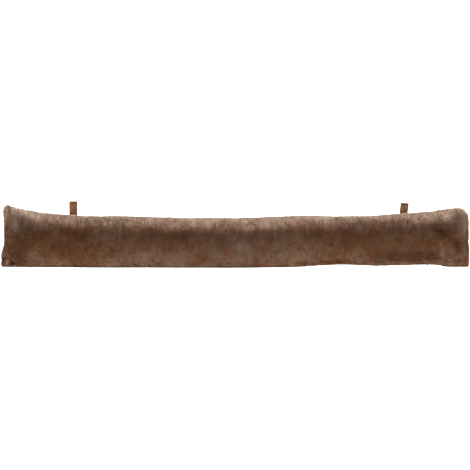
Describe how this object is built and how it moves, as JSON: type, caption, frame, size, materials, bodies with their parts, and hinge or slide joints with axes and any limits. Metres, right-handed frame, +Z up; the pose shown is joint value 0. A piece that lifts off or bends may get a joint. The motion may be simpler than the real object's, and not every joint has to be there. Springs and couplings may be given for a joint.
{
  "type": "draught excluder",
  "caption": "Long stuffed tube of dense imitation fur that lies against the foot of a door and keeps draughts out, with small leather loops on its top for hanging it up.",
  "frame": {"origin": "middle of the underside of the object's box, on the floor it stands on", "axes": "+X along the tube, +Y across it from front to back, +Z up through its crest and its loops"},
  "size_m": [0.9, 0.0942, 0.1271],
  "materials": {
    "fur": "dense short pile, matte, with a soft pale sheen where it turns away",
    "loop_leather": "smooth, low satin"
  },
  "bodies": {
    "root": {"fur_cover": "fur", "loop_left": "loop_leather", "loop_right": "loop_leather"}
  },
  "joints": []
}
